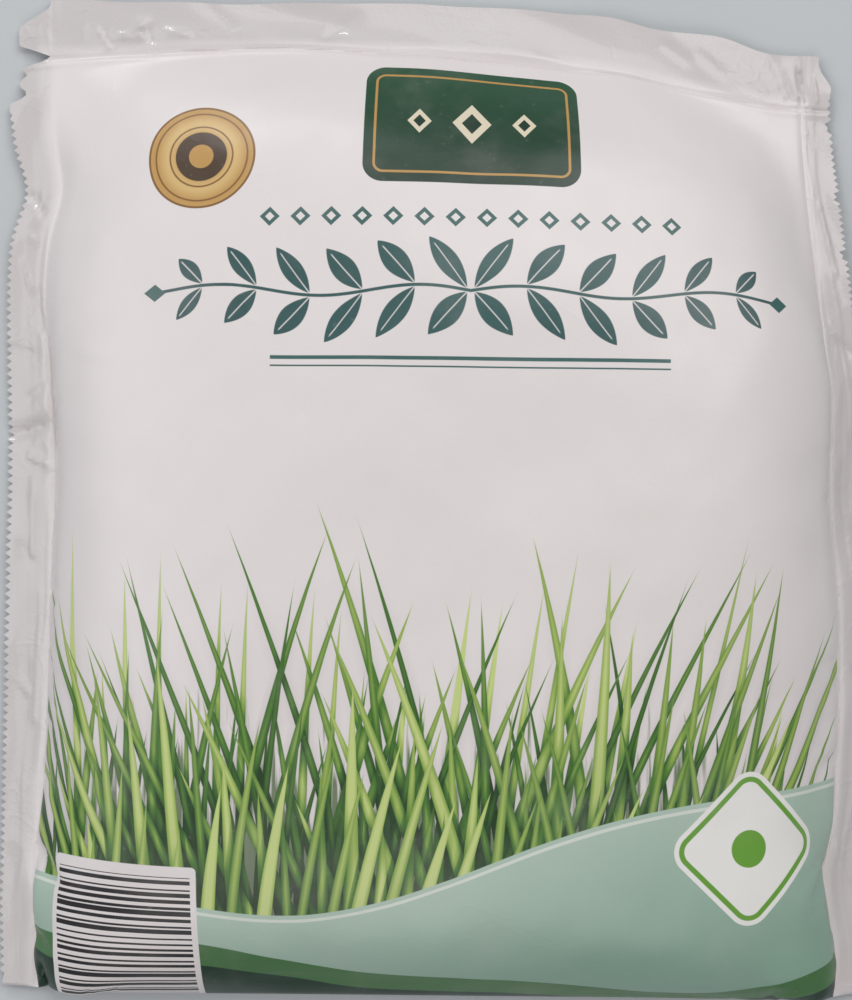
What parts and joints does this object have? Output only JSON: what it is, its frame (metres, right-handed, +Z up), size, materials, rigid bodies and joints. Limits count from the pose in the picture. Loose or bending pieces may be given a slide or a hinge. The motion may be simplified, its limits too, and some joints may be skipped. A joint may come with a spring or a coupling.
{
  "type": "frozen herb bag",
  "caption": "Sealed white film bag filled with frozen chopped chives: folded along the bottom, flat seal strip along the top, zig-zag cut seals down both sides. It lies on its back, front up.",
  "frame": {"origin": "centre of the bag's underside, where it rests on the table", "axes": "+Z up, out of the printed front; +Y to the top seal; +X to the right as seen from the front"},
  "size_m": [0.162, 0.183, 0.0243],
  "materials": {
    "film": "white printed polyethylene film, soft gloss, with fine wrinkles and a crimped seal texture",
    "herb": "frozen cut chives: matt mid to dark green stalk pieces with paler cut ends and a light frost"
  },
  "bodies": {
    "root": {"film_bag": "film", "chopped_chives": "herb"}
  },
  "joints": []
}
